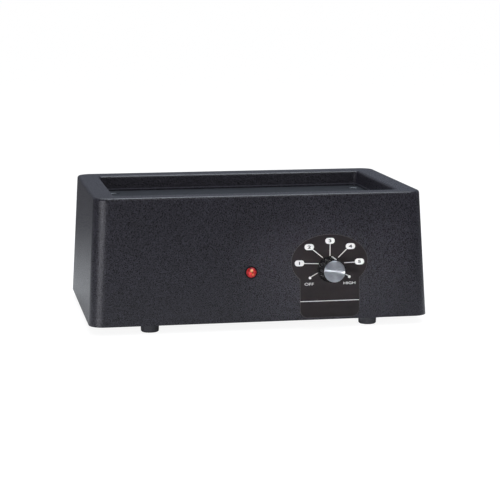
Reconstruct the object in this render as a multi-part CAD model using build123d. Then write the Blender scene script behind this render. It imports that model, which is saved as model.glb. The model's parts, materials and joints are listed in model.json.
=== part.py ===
from build123d import *
import math
import os

# Bench-top heated tray box: a tapered plastic housing round a shallow heated
# tray, with a rotary heat control and a pilot lamp on its front.
# Millimetres, +Z up, front towards -Y. While it is built, X = 0 and Y = 0 are the
# middle of the housing's footprint and Z = 0 is the surface it stands on; at the
# end everything is moved along Y so that the whole object's box is centred.

# ---------------------------------------------------------------- housing sizes
case_w = 335.0          # bottom edge, side to side
case_d = 218.0          # bottom edge, front to back
case_h = 123.0          # bottom edge to rim
draft_x = 6.5           # how far each side leans in at the rim
draft_y = 7.5           # how far front and back lean in at the rim
case_corner_r = 14.5
case_wall = 3.0
rim_t = 3.0
rim_outer_fillet = 2.6
rim_inner_fillet = 2.4

# tray recess in the top
rim_side = 21.0         # flat rim from the top edge to the recess, left and right
rim_back = 25.5
rim_front = 18.5
recess_depth = 12.9
recess_draft = 1.5
recess_corner_r = 5.0
recess_wall = 2.5
ledge_t = 1.9
ledge_side = 2.5        # width of the ledge at the left and right
ledge_long = 9.0        # width of the ledge at the front and back

# ---------------------------------------------------------------- feet and base
foot_h = 8.0
foot_r = 8.7
foot_top_r = 9.0
foot_in_x = 59.2        # foot centre in from the housing's bottom edge
foot_in_y = 14.5
foot_bore_r = 2.2
foot_sink_r = 4.6
foot_sink_d = 3.2
base_t = 1.2
base_gap = 0.4
block_w = 22.0
block_d = 20.0
block_h = 14.0
foot_screw_r = 1.9
foot_screw_head_r = 3.8
foot_screw_head_h = 2.4
foot_screw_len = 16.0
screw_gap = 0.05
vent_n = 7
vent_pitch = 11.0
vent_len = 44.0
vent_w = 4.0
vent_x = 62.0

# ---------------------------------------------------------------- heated tray
plate_t = 1.5
plate_lap = 4.0         # how far the plate reaches under the ledge
plate_step = 0.3        # the plate's edge is stepped down, so its field stands in the ledge's opening
plate_step_gap = 0.3
plate_corner_r = 6.0
tie_in_x = 8.5          # dish centre in from the edge of the tray's opening
tie_in_y = 20.5
dish_r = 6.6
dish_floor_r = 4.4
dish_depth = 1.9
tie_screw_r = 2.0
tie_head_r = 3.1
tie_head_h = 1.3
tie_slot_w = 0.9
spacer_r = 4.5
spacer_bore_r = 2.3
washer_r = 4.6
washer_t = 0.8
nut_af = 7.0
nut_h = 3.2

element_r = 3.3
element_in_y = 20.0     # outer leg in from the pan's side
element_in_x = 26.0     # start of each turn in from the pan's end
element_out_x = 12.0    # ends of the element out through the pan's end
element_pin_r = 1.5
element_pin_len = 9.0
strap_in_x = 22.0       # outer straps in from the element's turns
strap_over = 10.0       # strap ends past the outer legs
strap_w = 12.0
strap_t = 1.0
stud_r = 2.0
stud_past = 0.4         # stud end past its nut

pan_in_x = 9.5          # pan's end in from the tie screws
pan_over_y = 7.5        # pan's side out past the tie screws
pan_t = 1.0
pan_ear_w = 14.0
pan_ear_out = 16.5
wool_t = 8.0
wool_gap = 0.5          # wool to the pan's walls
wool_clear = 0.7        # stud ends to the wool

bulb_r = 3.0
bulb_len = 62.0
bulb_x = 15.0           # middle of the bulb

# ---------------------------------------------------------------- heat control
knob_x = 67.0
knob_s = 49.3           # up the front face from the housing's bottom edge
knob_back = 1.4         # off the front face
knob_skirt_r = 12.6
knob_skirt_n = 3.6
knob_front_r = 11.5
knob_front_n = 21.9
knob_edge = 0.5
knob_flutes = 24
knob_flute_r = 1.1
knob_hollow_r = 9.8
knob_hollow_n = 8.6
knob_bore_n = 18.5
cap_r = 10.3
cap_t = 1.2
cap_sink = 0.8
cap_gap = 0.05
pointer_w = 1.3
pointer_deg = -7.0      # where the pointer rests, clockwise of straight up
pointer_h = 0.35
shaft_r = 3.0
shaft_run = 0.05
shaft_flat = 2.2
shaft_in_n = -16.0
bushing_r = 4.8
bushing_n = 6.2
bushing_hole_gap = 0.2
control_w = 34.0
control_h = 36.0
control_d = 21.0
control_corner_r = 3.0
control_washer_r = 8.0
control_washer_t = 0.8
control_nut_af = 13.0
control_nut_h = 2.4
tab_w = 6.3
tab_t = 0.8
tab_len = 8.0
tab_x = 9.0
tab_y = 6.0
capillary_y = -8.0      # where the sensor tube leaves the back of the control
grub_r = 1.6

dial_x = 67.0
dial_t = 0.4
dial_ellipse_s = 56.9
dial_ellipse_a = 38.2
dial_ellipse_b = 26.7
dial_body_w = 59.6
dial_body_s0 = 2.0
dial_body_s1 = 44.0
dial_body_r = 8.0

# ---------------------------------------------------------------- pilot lamp
lamp_x = -10.8
lamp_s = 48.5
lamp_bezel_r = 6.1
lamp_bezel_t = 1.0
lamp_lens_r = 5.3
lamp_lens_h = 3.6
lamp_lens_top_r = 2.6
lamp_stem_r = 3.6
lamp_body_r = 4.3
lamp_body_len = 24.0
lamp_fit = 0.1
lamp_clip_w = 15.0
lamp_clip_t = 0.6
lamp_tab_x = 2.2
lamp_tab_len = 6.0

# ---------------------------------------------------------------- mains inlet
inlet_x = 70.0          # towards +X, on the back
inlet_s = 34.0
inlet_flange_w = 50.0
inlet_flange_h = 24.0
inlet_flange_t = 2.6
inlet_flange_r = 4.0
inlet_body_w = 28.0
inlet_body_h = 20.0
inlet_body_d = 24.0
inlet_body_r = 3.0
inlet_cut_gap = 0.3
socket_w = 24.2
socket_h = 16.4
socket_d = 17.0
socket_r = 2.5
inlet_screw_pitch = 40.0
inlet_screw_r = 1.5
inlet_head_r = 2.8
inlet_head_h = 1.6
inlet_nut_af = 5.5
inlet_nut_h = 2.4

lead_r = 1.5
capillary_r = 0.9
block_term_w = 24.0
block_term_d = 14.0
block_term_h = 12.0
block_term_x = 20.0
block_term_y = 46.0
earth_x = 96.0
earth_y = 72.0
earth_stud_r = 2.0
earth_stud_h = 10.0

# ---------------------------------------------------------------- derived sizes
case_top_z = foot_h + case_h
recess_half_x = case_w / 2 - draft_x - rim_side
recess_back_y = case_d / 2 - draft_y - rim_back
recess_front_y = -(case_d / 2 - draft_y - rim_front)
foot_x = case_w / 2 - foot_in_x
foot_y = case_d / 2 - foot_in_y
ledge_top_z = case_top_z - recess_depth
ledge_low_z = ledge_top_z - ledge_t
plate_top_z = ledge_low_z + plate_step
plate_low_z = plate_top_z - plate_t
tray_y = (recess_back_y + recess_front_y) / 2
recess_w = 2 * recess_half_x
recess_d = recess_back_y - recess_front_y
ledge_w = recess_w - 2 * recess_draft - 2 * ledge_side
ledge_d = recess_d - 2 * recess_draft - 2 * ledge_long
tie_x = ledge_w / 2 - tie_in_x
tie_half_y = ledge_d / 2 - tie_in_y
tie_y = (tray_y - tie_half_y, tray_y + tie_half_y)
pan_half_x = tie_x - pan_in_x
pan_half_y = tie_half_y + pan_over_y
strap_low = 2 * element_r + 2 * screw_gap + strap_t
stud_len = strap_low + nut_h + stud_past
pan_floor_z = plate_low_z - stud_len - wool_clear - wool_t
leg_y = pan_half_y - element_in_y
leg_pitch = 2 * leg_y / 3
element_turn_x = pan_half_x - element_in_x
element_end_x = pan_half_x + element_out_x
dish_low_z = plate_low_z - dish_depth
base_top_z = foot_h + base_t
lean = math.atan2(draft_y, case_h)
wall_n = case_wall * math.cos(lean)


def rounded(w, d, r, z, y=0.0):
    return Plane.XY.offset(z) * Pos(0, y) * RectangleRounded(w, d, r)


def front_plane(x, s, n=0.0):
    """Plane on the sloping front: local Z points out, local Y up the slope."""
    o = Vector(
        x,
        -case_d / 2 + s * math.sin(lean) - n * math.cos(lean),
        foot_h + s * math.cos(lean) + n * math.sin(lean),
    )
    return Plane(origin=o, x_dir=(1, 0, 0), z_dir=(0, -math.cos(lean), math.sin(lean)))


def back_plane(x, s, n=0.0):
    """Plane on the sloping back: local Z points out, local Y up the slope."""
    o = Vector(
        x,
        case_d / 2 - s * math.sin(lean) + n * math.cos(lean),
        foot_h + s * math.cos(lean) + n * math.sin(lean),
    )
    return Plane(origin=o, x_dir=(-1, 0, 0), z_dir=(0, math.cos(lean), math.sin(lean)))


def rod(plane, r, n0, n1):
    return plane * Pos(0, 0, n0) * Cylinder(r, n1 - n0, align=(Align.CENTER, Align.CENTER, Align.MIN))


def post(x, y, r, z0, z1):
    return Pos(x, y, z0) * Cylinder(r, z1 - z0, align=(Align.CENTER, Align.CENTER, Align.MIN))


def slab(x0, x1, y0, y1, z0, z1):
    return Pos((x0 + x1) / 2, (y0 + y1) / 2, (z0 + z1) / 2) * Box(x1 - x0, y1 - y0, z1 - z0)


def hex_nut(af, h, bore):
    r = af / math.sqrt(3)
    body = extrude(RegularPolygon(r, 6), h)
    cone = Pos(0, 0, h / 2) * Cylinder(r, h)
    top = chamfer(cone.edges().filter_by(GeomType.CIRCLE), 0.12 * h)
    return (body & top) - Pos(0, 0, h / 2) * Cylinder(bore, 2 * h)


def run_wire(points, radii):
    return FilletPolyline(*[Vector(*p) for p in points], radius=radii)


def tube(points, radii, r):
    path = run_wire(points, radii)
    profile = Plane(origin=path @ 0, z_dir=path % 0) * Circle(r)
    return sweep(profile, path)


parts = {}

# ---------------------------------------------------------------- housing
outer = loft(
    [
        rounded(case_w, case_d, case_corner_r, foot_h),
        rounded(case_w - 2 * draft_x, case_d - 2 * draft_y, case_corner_r, case_top_z),
    ],
    ruled=True,
)
outer = fillet(outer.faces().sort_by(Axis.Z)[-1].edges(), rim_outer_fillet)
inner_r = case_corner_r - case_wall
rim_k = (case_h - rim_t) / case_h
cavity = loft(
    [
        rounded(case_w - 2 * case_wall, case_d - 2 * case_wall, inner_r, foot_h),
        rounded(
            case_w - 2 * case_wall - 2 * draft_x * rim_k,
            case_d - 2 * case_wall - 2 * draft_y * rim_k,
            inner_r,
            case_top_z - rim_t,
        ),
    ],
    ruled=True,
)
well_out = Plane.XY.offset(ledge_low_z) * Pos(0, tray_y) * extrude(
    RectangleRounded(recess_w + 2 * recess_wall, recess_d + 2 * recess_wall, recess_corner_r + recess_wall),
    case_top_z - rim_t - ledge_low_z,
)
well_in = loft(
    [
        rounded(recess_w - 2 * recess_draft, recess_d - 2 * recess_draft, recess_corner_r, ledge_top_z, tray_y),
        rounded(recess_w, recess_d, recess_corner_r, case_top_z, tray_y),
    ],
    ruled=True,
)
ledge_hole = Plane.XY.offset(ledge_low_z) * Pos(0, tray_y) * extrude(
    RectangleRounded(ledge_w, ledge_d, recess_corner_r), ledge_t
)
housing = (outer - cavity) + (well_out - well_in - ledge_hole) - well_in
rim_edges = [
    e
    for e in housing.edges().filter_by_position(Axis.Z, case_top_z - 0.01, case_top_z + 0.01)
    if abs(e.center().X) <= recess_half_x + 0.5
    and recess_front_y - 0.5 <= e.center().Y <= recess_back_y + 0.5
]
housing = fillet(rim_edges, rim_inner_fillet)

control_axis = front_plane(knob_x, knob_s)
lamp_axis = front_plane(lamp_x, lamp_s)
inlet_axis = back_plane(inlet_x, inlet_s)
bushing_hole_r = bushing_r + bushing_hole_gap
housing -= rod(control_axis, bushing_hole_r, -2 * wall_n, wall_n)
housing -= rod(lamp_axis, lamp_body_r + lamp_fit, -2 * wall_n, wall_n)
housing -= inlet_axis * Pos(0, 0, -2 * wall_n) * extrude(
    RectangleRounded(inlet_body_w + 2 * inlet_cut_gap, inlet_body_h + 2 * inlet_cut_gap, inlet_body_r),
    3 * wall_n,
)
for side in (-1, 1):
    hole = back_plane(inlet_x - side * inlet_screw_pitch / 2, inlet_s)
    housing -= rod(hole, inlet_screw_r + 2 * screw_gap, -2 * wall_n, wall_n)
parts["housing"] = housing

# ------------------------------------------------- welded corner blocks, base, feet
feet_at = [(sx * foot_x, sy * foot_y) for sx in (-1, 1) for sy in (-1, 1)]
blocks = []
for x, y in feet_at:
    sy = 1 if y > 0 else -1
    wall_y = sy * case_d / 2
    far_y = wall_y - sy * (case_wall + block_d)
    b = slab(x - block_w / 2, x + block_w / 2, min(far_y, wall_y), max(far_y, wall_y), base_top_z, base_top_z + block_h)
    b = b & cavity
    b -= post(x, y, foot_screw_r + screw_gap, base_top_z - 1, base_top_z + block_h - 1.5)
    blocks.append(b)
parts["corner_blocks"] = Compound(children=blocks)

base = Plane.XY.offset(foot_h) * extrude(
    RectangleRounded(
        case_w - 2 * case_wall - 2 * base_gap, case_d - 2 * case_wall - 2 * base_gap, inner_r - base_gap
    ),
    base_t,
)
for x, y in feet_at:
    base -= post(x, y, foot_screw_r + 4 * screw_gap, foot_h - 1, base_top_z + 1)
for sx in (-1, 1):
    for y in tie_y:
        base -= post(sx * tie_x, y, tie_screw_r + 4 * screw_gap, foot_h - 1, base_top_z + 1)
    for i in range(vent_n):
        vx = sx * vent_x + (i - (vent_n - 1) / 2) * vent_pitch
        base -= Pos(vx, tray_y, foot_h) * extrude(
            Rot(0, 0, 90) * SlotOverall(vent_len, vent_w), 2 * base_t
        )
base -= post(earth_x, earth_y, earth_stud_r + 2 * screw_gap, foot_h - 1, base_top_z + 1)
for side in (-1, 1):
    base -= post(
        block_term_x + side * block_term_w / 4, block_term_y, 1.5 + 2 * screw_gap, foot_h - 1, base_top_z + 1
    )
parts["base_plate"] = base

foot_profile = Plane.XZ * make_face(
    Polyline(
        (foot_bore_r, foot_sink_d),
        (foot_sink_r, foot_sink_d),
        (foot_sink_r, 0.0),
        (foot_r - 0.9, 0.0),
        (foot_r, 0.9),
        (foot_top_r, foot_h),
        (foot_bore_r, foot_h),
        close=True,
    )
)
foot = revolve(foot_profile, Axis.Z)
foot_names = ("foot_front_left", "foot_back_left", "foot_front_right", "foot_back_right")
for name, (x, y) in zip(foot_names, feet_at):
    parts[name] = Pos(x, y, 0) * foot

screws = []
for x, y in feet_at:
    head = Pos(x, y, foot_sink_d - foot_screw_head_h) * fillet(
        Cylinder(foot_screw_head_r, foot_screw_head_h, align=(Align.CENTER, Align.CENTER, Align.MIN))
        .edges().filter_by(GeomType.CIRCLE).sort_by(Axis.Z)[:1],
        0.9,
    )
    head -= Pos(x, y, foot_sink_d - foot_screw_head_h) * Box(4.4, 1.0, 2.4)
    head -= Pos(x, y, foot_sink_d - foot_screw_head_h) * Box(1.0, 4.4, 2.4)
    screws.append(head + post(x, y, foot_screw_r, foot_sink_d - 0.01, foot_sink_d + foot_screw_len))
parts["foot_screws"] = Compound(children=screws)

# ---------------------------------------------------------------- heat plate
plate_w = ledge_w + 2 * ledge_side + 2 * (plate_lap - ledge_side)
plate_d = ledge_d + 2 * plate_lap
plate = Plane.XY.offset(plate_low_z) * Pos(0, tray_y) * extrude(
    RectangleRounded(plate_w, plate_d, plate_corner_r), plate_t - plate_step
)
plate += Plane.XY.offset(plate_low_z) * Pos(0, tray_y) * extrude(
    RectangleRounded(ledge_w - 2 * plate_step_gap, ledge_d - 2 * plate_step_gap, recess_corner_r - plate_step_gap),
    plate_t,
)
dish_step = dish_r - dish_floor_r
ties_at = [(sx * tie_x, y) for sx in (-1, 1) for y in tie_y]
for x, y in ties_at:
    plate += Pos(x, y, plate_low_z - dish_depth / 2) * Cone(
        dish_floor_r + 1.0, dish_r + 1.0, dish_depth
    )
for x, y in ties_at:
    plate -= Pos(x, y, plate_top_z - dish_depth / 2) * Cone(dish_floor_r, dish_r, dish_depth)
    plate -= post(x, y, tie_screw_r + 2 * screw_gap, dish_low_z - 1, plate_top_z)
parts["heat_plate"] = plate

# tie screws run from the dishes down through pan, spacers and base to their nuts
dish_floor_z = plate_top_z - dish_depth
spacer_top_z = dish_low_z - pan_t
tie_nut_top_z = foot_h - washer_t
tie_low_z = tie_nut_top_z - nut_h - 1.0
ties, spacers, washers, nuts = [], [], [], []
for x, y in ties_at:
    head = Pos(x, y, dish_floor_z) * fillet(
        Cylinder(tie_head_r, tie_head_h, align=(Align.CENTER, Align.CENTER, Align.MIN))
        .edges().filter_by(GeomType.CIRCLE).sort_by(Axis.Z)[-1:],
        0.8,
    )
    head -= Pos(x, y, dish_floor_z + tie_head_h) * Box(2 * tie_head_r + 1, tie_slot_w, tie_head_h)
    ties.append(head + post(x, y, tie_screw_r, tie_low_z, dish_floor_z + 0.01))
    spacers.append(post(x, y, spacer_r, base_top_z, spacer_top_z) - post(x, y, spacer_bore_r, base_top_z - 1, spacer_top_z + 1))
    washers.append(
        post(x, y, washer_r, tie_nut_top_z, foot_h) - post(x, y, tie_screw_r + screw_gap, tie_nut_top_z - 1, foot_h + 1)
    )
    nuts.append(Pos(x, y, tie_nut_top_z - nut_h) * hex_nut(nut_af, nut_h, tie_screw_r + screw_gap))
parts["tie_screws"] = Compound(children=ties)
parts["tie_spacers"] = Compound(children=spacers)
parts["tie_washers"] = Compound(children=washers)
parts["tie_nuts"] = Compound(children=nuts)

# ---------------------------------------------------------------- element, straps, studs
element_z = plate_low_z - element_r - screw_gap
half = leg_pitch / 2
y1, y2, y3, y4 = [tray_y - leg_y + i * leg_pitch for i in range(4)]
tx = element_turn_x
path = (
    Line((element_end_x, y1, element_z), (-tx, y1, element_z))
    + ThreePointArc((-tx, y1, element_z), (-tx - half, (y1 + y2) / 2, element_z), (-tx, y2, element_z))
    + Line((-tx, y2, element_z), (tx, y2, element_z))
    + ThreePointArc((tx, y2, element_z), (tx + (y3 - y2) / 2, (y2 + y3) / 2, element_z), (tx, y3, element_z))
    + Line((tx, y3, element_z), (-tx, y3, element_z))
    + ThreePointArc((-tx, y3, element_z), (-tx - half, (y3 + y4) / 2, element_z), (-tx, y4, element_z))
    + Line((-tx, y4, element_z), (element_end_x, y4, element_z))
)
element_face = Plane(origin=(element_end_x, y1, element_z), z_dir=(-1, 0, 0)) * Circle(element_r)
parts["heating_element"] = sweep(element_face, path)
pins = []
for y in (y1, y4):
    p = Plane(origin=(element_end_x, y, element_z), z_dir=(1, 0, 0))
    pins.append(rod(p, element_pin_r, 0, element_pin_len))
parts["element_pins"] = Compound(children=pins)

strap_top_z = element_z - element_r - screw_gap
capillary_z = strap_top_z - strap_t - capillary_r - 0.8
straps, studs, stud_nuts = [], [], []
strap_x = element_turn_x - strap_in_x
strap_len = 2 * (leg_y + strap_over)
for x in (-strap_x, 0.0, strap_x):
    s = slab(x - strap_w / 2, x + strap_w / 2, tray_y - strap_len / 2, tray_y + strap_len / 2, strap_top_z - strap_t, strap_top_z)
    for sy in (-1, 1):
        y = tray_y + sy * leg_pitch
        s -= post(x, y, stud_r + 2 * screw_gap, strap_top_z - 2 * strap_t, strap_top_z + 1)
        studs.append(post(x, y, stud_r, plate_low_z - stud_len, plate_low_z))
        stud_nuts.append(Pos(x, y, strap_top_z - strap_t - nut_h) * hex_nut(nut_af, nut_h, stud_r + screw_gap))
    straps.append(s)
parts["element_straps"] = Compound(children=straps)
parts["strap_studs"] = Compound(children=studs)
parts["strap_nuts"] = Compound(children=stud_nuts)

# ---------------------------------------------------------------- shield pan and wool
pan_out = slab(-pan_half_x, pan_half_x, tray_y - pan_half_y, tray_y + pan_half_y, pan_floor_z - pan_t, dish_low_z)
pan_in = slab(
    -pan_half_x + pan_t, pan_half_x - pan_t, tray_y - pan_half_y + pan_t, tray_y + pan_half_y - pan_t,
    pan_floor_z, dish_low_z + 1,
)
pan = pan_out - pan_in
for x, y in ties_at:
    sx = 1 if x > 0 else -1
    x0, x1 = sorted((sx * (pan_half_x - pan_t), sx * (pan_half_x + pan_ear_out)))
    pan += slab(x0, x1, y - pan_ear_w / 2, y + pan_ear_w / 2, dish_low_z - pan_t, dish_low_z)
for x, y in ties_at:
    pan -= post(x, y, tie_screw_r + 2 * screw_gap, dish_low_z - 3, dish_low_z + 3)
for y in (y1, y4):
    notch = slab(pan_half_x - 2 * pan_t, pan_half_x + pan_t, y - element_r - 1, y + element_r + 1, element_z - element_r - 1, dish_low_z + 1)
    pan -= notch
pan -= slab(pan_half_x - 2 * pan_t, pan_half_x + pan_t, tray_y - 3, tray_y + 3, capillary_z - 2, dish_low_z + 1)
parts["shield_pan"] = pan
parts["insulation_blanket"] = slab(
    -pan_half_x + pan_t + wool_gap, pan_half_x - pan_t - wool_gap,
    tray_y - pan_half_y + pan_t + wool_gap, tray_y + pan_half_y - pan_t - wool_gap,
    pan_floor_z, pan_floor_z + wool_t,
)
bulb_z = strap_top_z + bulb_r + screw_gap
bulb_plane = Plane(origin=(bulb_x, tray_y, bulb_z), z_dir=(1, 0, 0))
parts["sensing_bulb"] = rod(bulb_plane, bulb_r, -bulb_len / 2, bulb_len / 2)

# ---------------------------------------------------------------- heat control
dial_face = (
    Pos(0, dial_ellipse_s - knob_s) * Ellipse(dial_ellipse_a, dial_ellipse_b)
    + Pos(0, (dial_body_s0 + dial_body_s1) / 2 - knob_s) * RectangleRounded(
        dial_body_w, dial_body_s1 - dial_body_s0, dial_body_r
    )
    + Pos(0, dial_body_s1 - dial_body_r - knob_s) * Rectangle(dial_body_w, 2 * dial_body_r)
)
dial = front_plane(dial_x, knob_s) * extrude(dial_face, dial_t)
dial -= rod(control_axis, bushing_hole_r, -1, 2)
parts["dial_plate"] = dial

control_front_n = -wall_n - screw_gap
control = control_axis * Pos(0, 0, control_front_n - control_d) * extrude(
    RectangleRounded(control_w, control_h, control_corner_r), control_d
)
control -= rod(control_axis, shaft_r + 2 * shaft_run, shaft_in_n - 0.1, 1)
parts["control_body"] = control
parts["control_bushing"] = rod(control_axis, bushing_r, control_front_n, bushing_n) - rod(
    control_axis, shaft_r + shaft_run, control_front_n - 1, bushing_n + 1
)
parts["control_washer"] = rod(control_axis, control_washer_r, dial_t, dial_t + control_washer_t) - rod(
    control_axis, bushing_r + screw_gap, -1, 3
)
parts["control_nut"] = (
    control_axis * Pos(0, 0, dial_t + control_washer_t) * hex_nut(control_nut_af, control_nut_h, bushing_r + screw_gap)
)
shaft = rod(control_axis, shaft_r, shaft_in_n, knob_bore_n - 0.1)
flat_n = knob_hollow_n
shaft -= control_axis * Rot(0, 0, pointer_deg) * Pos(0, -shaft_flat - 5, (flat_n + knob_bore_n) / 2 + 0.5) * Box(20, 10, knob_bore_n - flat_n + 1)
parts["control_shaft"] = shaft

tabs = []
control_back_n = control_front_n - control_d
for dx in (-tab_x, tab_x):
    tabs.append(control_axis * Pos(dx, tab_y, control_back_n - tab_len / 2) * Box(tab_w, tab_t, tab_len))
parts["control_tabs"] = Compound(children=tabs)

# ---------------------------------------------------------------- knob
knob_edge_n = knob_front_n - knob_edge
knob_profile = Plane.XZ * make_face(
    Polyline(
        (knob_hollow_r, knob_back),
        (knob_skirt_r - 0.4, knob_back),
        (knob_skirt_r, knob_back + 0.4),
        (knob_skirt_r, knob_skirt_n),
        (knob_front_r, knob_edge_n),
        (knob_front_r - knob_edge, knob_front_n),
        (cap_r + cap_gap, knob_front_n),
        (cap_r + cap_gap, knob_front_n - cap_sink),
        (0.0, knob_front_n - cap_sink),
        (0.0, knob_hollow_n),
        (knob_hollow_r, knob_hollow_n),
        close=True,
    )
)
knob = revolve(knob_profile, Axis.Z)
taper_deg = math.degrees(math.atan2(knob_skirt_r - knob_front_r, knob_edge_n - knob_skirt_n))
flute_len = knob_front_n - knob_skirt_n + 4
for i in range(knob_flutes):
    if i == 0:
        continue
    a = 90 + i * 360 / knob_flutes
    mid_r = (knob_skirt_r + knob_front_r) / 2 + 0.55 * knob_flute_r
    mid_n = (knob_skirt_n + knob_front_n) / 2 + 2.6
    knob -= Rot(0, 0, a) * Pos(mid_r, 0, mid_n) * Rot(0, -taper_deg, 0) * Cylinder(knob_flute_r, flute_len)
bore = Pos(0, 0, (knob_hollow_n + knob_bore_n) / 2) * Cylinder(shaft_r + screw_gap, knob_bore_n - knob_hollow_n)
bore -= Pos(0, -shaft_flat - screw_gap - 5, (knob_hollow_n + knob_bore_n) / 2) * Box(20, 10, knob_bore_n)
knob -= bore
grub_n = (knob_hollow_n + knob_bore_n) / 2
grub_hole = Pos(0, -knob_skirt_r / 2 - shaft_flat, grub_n) * Rot(90, 0, 0) * Cylinder(grub_r + screw_gap, knob_skirt_r)
knob -= grub_hole
knob_at = control_axis * Rot(0, 0, pointer_deg)
parts["knob_body"] = knob_at * knob
parts["knob_cap"] = knob_at * fillet(
    (Pos(0, 0, knob_front_n - cap_sink + cap_t / 2) * Cylinder(cap_r, cap_t)).edges().sort_by(Axis.Z)[-1:], 0.4
)
ptr_tilt = math.radians(taper_deg)
ptr_len = (knob_edge_n - knob_skirt_n) / math.cos(ptr_tilt)
ptr_mid_r = (knob_skirt_r + knob_front_r) / 2
ptr_mid_n = (knob_skirt_n + knob_edge_n) / 2
parts["knob_pointer"] = (
    knob_at
    * Pos(0, ptr_mid_r + (pointer_h / 2 + 0.01) / math.cos(ptr_tilt), ptr_mid_n)
    * Rot(taper_deg, 0, 0)
    * Box(pointer_w, pointer_h, ptr_len - 1.0)
)
parts["knob_grub_screw"] = (
    knob_at * Pos(0, -shaft_flat - 3.0 - screw_gap, grub_n) * Rot(90, 0, 0) * Cylinder(grub_r, 5.6)
)

# ---------------------------------------------------------------- pilot lamp
lens = Pos(0, 0, lamp_bezel_t) * loft(
    [
        Circle(lamp_lens_r - 0.3),
        Pos(0, 0, 1.0) * Circle(lamp_lens_r - 0.4),
    ],
    ruled=True,
)
facets = Pos(0, 0, lamp_bezel_t + 1.0) * loft(
    [
        RegularPolygon(lamp_lens_r - 0.4, 12),
        Pos(0, 0, lamp_lens_h - 1.0) * RegularPolygon(lamp_lens_top_r, 12),
    ],
    ruled=True,
)
stem = Pos(0, 0, -6.0) * Cylinder(lamp_stem_r, lamp_bezel_t + 6.0 + 0.01, align=(Align.CENTER, Align.CENTER, Align.MIN))
parts["lamp_lens"] = lamp_axis * (stem + lens + facets)
lamp_body = rod(lamp_axis, lamp_body_r, -lamp_body_len, 0) + rod(lamp_axis, lamp_bezel_r, 0, lamp_bezel_t)
lamp_body -= rod(lamp_axis, lamp_stem_r + screw_gap, -6.05, lamp_bezel_t + 1)
parts["lamp_body"] = lamp_body
clip = lamp_axis * Pos(0, 0, -wall_n - screw_gap - lamp_clip_t / 2) * Box(lamp_clip_w, lamp_clip_w, lamp_clip_t)
clip -= rod(lamp_axis, lamp_body_r + screw_gap, -10, 1)
parts["lamp_clip"] = clip
tabs = []
for dx in (-lamp_tab_x, lamp_tab_x):
    tabs.append(lamp_axis * Pos(dx, 0, -lamp_body_len - lamp_tab_len / 2) * Box(tab_t, 2.8, lamp_tab_len))
parts["lamp_tabs"] = Compound(children=tabs)

# ---------------------------------------------------------------- mains inlet
flange = inlet_axis * extrude(RectangleRounded(inlet_flange_w, inlet_flange_h, inlet_flange_r), inlet_flange_t)
flange = fillet(flange.faces().sort_by(Axis.Y)[-1].edges(), 0.8)
inlet = flange + inlet_axis * Pos(0, 0, -inlet_body_d) * extrude(
    RectangleRounded(inlet_body_w, inlet_body_h, inlet_body_r), inlet_body_d
)
inlet -= inlet_axis * Pos(0, 0, inlet_flange_t - socket_d) * extrude(
    RectangleRounded(socket_w, socket_h, socket_r), socket_d + 1
)
pins_at = ((-7.0, -2.0), (0.0, 2.0), (7.0, -2.0))
pins, inlet_tabs = [], []
for px, py in pins_at:
    inlet -= inlet_axis * Pos(px, py, -inlet_body_d / 2 - 2) * Box(2.0 + 2 * screw_gap, 4.0 + 2 * screw_gap, inlet_body_d)
    pins.append(
        inlet_axis * Pos(px, py, (inlet_flange_t - 2.0 - inlet_body_d - tab_len) / 2)
        * Box(2.0, 4.0, inlet_flange_t - 2.0 + inlet_body_d + tab_len)
    )
for side in (-1, 1):
    inlet -= inlet_axis * Pos(side * inlet_screw_pitch / 2, 0, 0) * Cylinder(inlet_screw_r + 2 * screw_gap, 12)
    inlet -= inlet_axis * Pos(side * inlet_screw_pitch / 2, 0, inlet_flange_t - inlet_head_h / 2) * Cone(
        inlet_screw_r + 2 * screw_gap, inlet_head_r + screw_gap, inlet_head_h
    )
parts["inlet_body"] = inlet
parts["inlet_pins"] = Compound(children=pins)
iscrews, inuts = [], []
for side in (-1, 1):
    at = inlet_axis * Pos(side * inlet_screw_pitch / 2, 0, 0)
    sc = at * Pos(0, 0, inlet_flange_t - inlet_head_h / 2 - screw_gap) * Cone(inlet_screw_r, inlet_head_r, inlet_head_h)
    sc += at * Pos(0, 0, inlet_flange_t - inlet_head_h - 9.5) * Cylinder(
        inlet_screw_r, 9.5, align=(Align.CENTER, Align.CENTER, Align.MIN)
    )
    sc -= at * Pos(0, 0, inlet_flange_t) * Box(3.2, 0.7, 1.4)
    sc -= at * Pos(0, 0, inlet_flange_t) * Box(0.7, 3.2, 1.4)
    iscrews.append(sc)
    inuts.append(
        at * Pos(0, 0, -wall_n - screw_gap - inlet_nut_h) * hex_nut(inlet_nut_af, inlet_nut_h, inlet_screw_r + screw_gap)
    )
parts["inlet_screws"] = Compound(children=iscrews)
parts["inlet_nuts"] = Compound(children=inuts)

# ---------------------------------------------------------------- connections inside
term = slab(
    block_term_x - block_term_w / 2, block_term_x + block_term_w / 2,
    block_term_y - block_term_d / 2, block_term_y + block_term_d / 2, base_top_z, base_top_z + block_term_h,
)
term = fillet(term.edges().filter_by(Axis.Z), 1.5)
tscrews = []
for side in (-1, 1):
    x = block_term_x + side * block_term_w / 4
    term -= post(x, block_term_y, 1.5 + 2 * screw_gap, base_top_z - 1, base_top_z + block_term_h + 1)
    term -= post(x, block_term_y, 3.2, base_top_z + 6, base_top_z + block_term_h + 1)
    tscrews.append(
        post(x, block_term_y, 1.5, foot_h - 3.4, base_top_z + 6.0)
        + post(x, block_term_y, 2.7, base_top_z + 6.0, base_top_z + 8.0)
    )
parts["terminal_block"] = term
parts["terminal_screws"] = Compound(children=tscrews)
parts["terminal_nuts"] = Compound(
    children=[
        Pos(block_term_x + side * block_term_w / 4, block_term_y, foot_h - inlet_nut_h)
        * hex_nut(inlet_nut_af, inlet_nut_h, 1.5 + screw_gap)
        for side in (-1, 1)
    ]
)
parts["earth_stud"] = post(earth_x, earth_y, earth_stud_r, foot_h, base_top_z + earth_stud_h)
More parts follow.
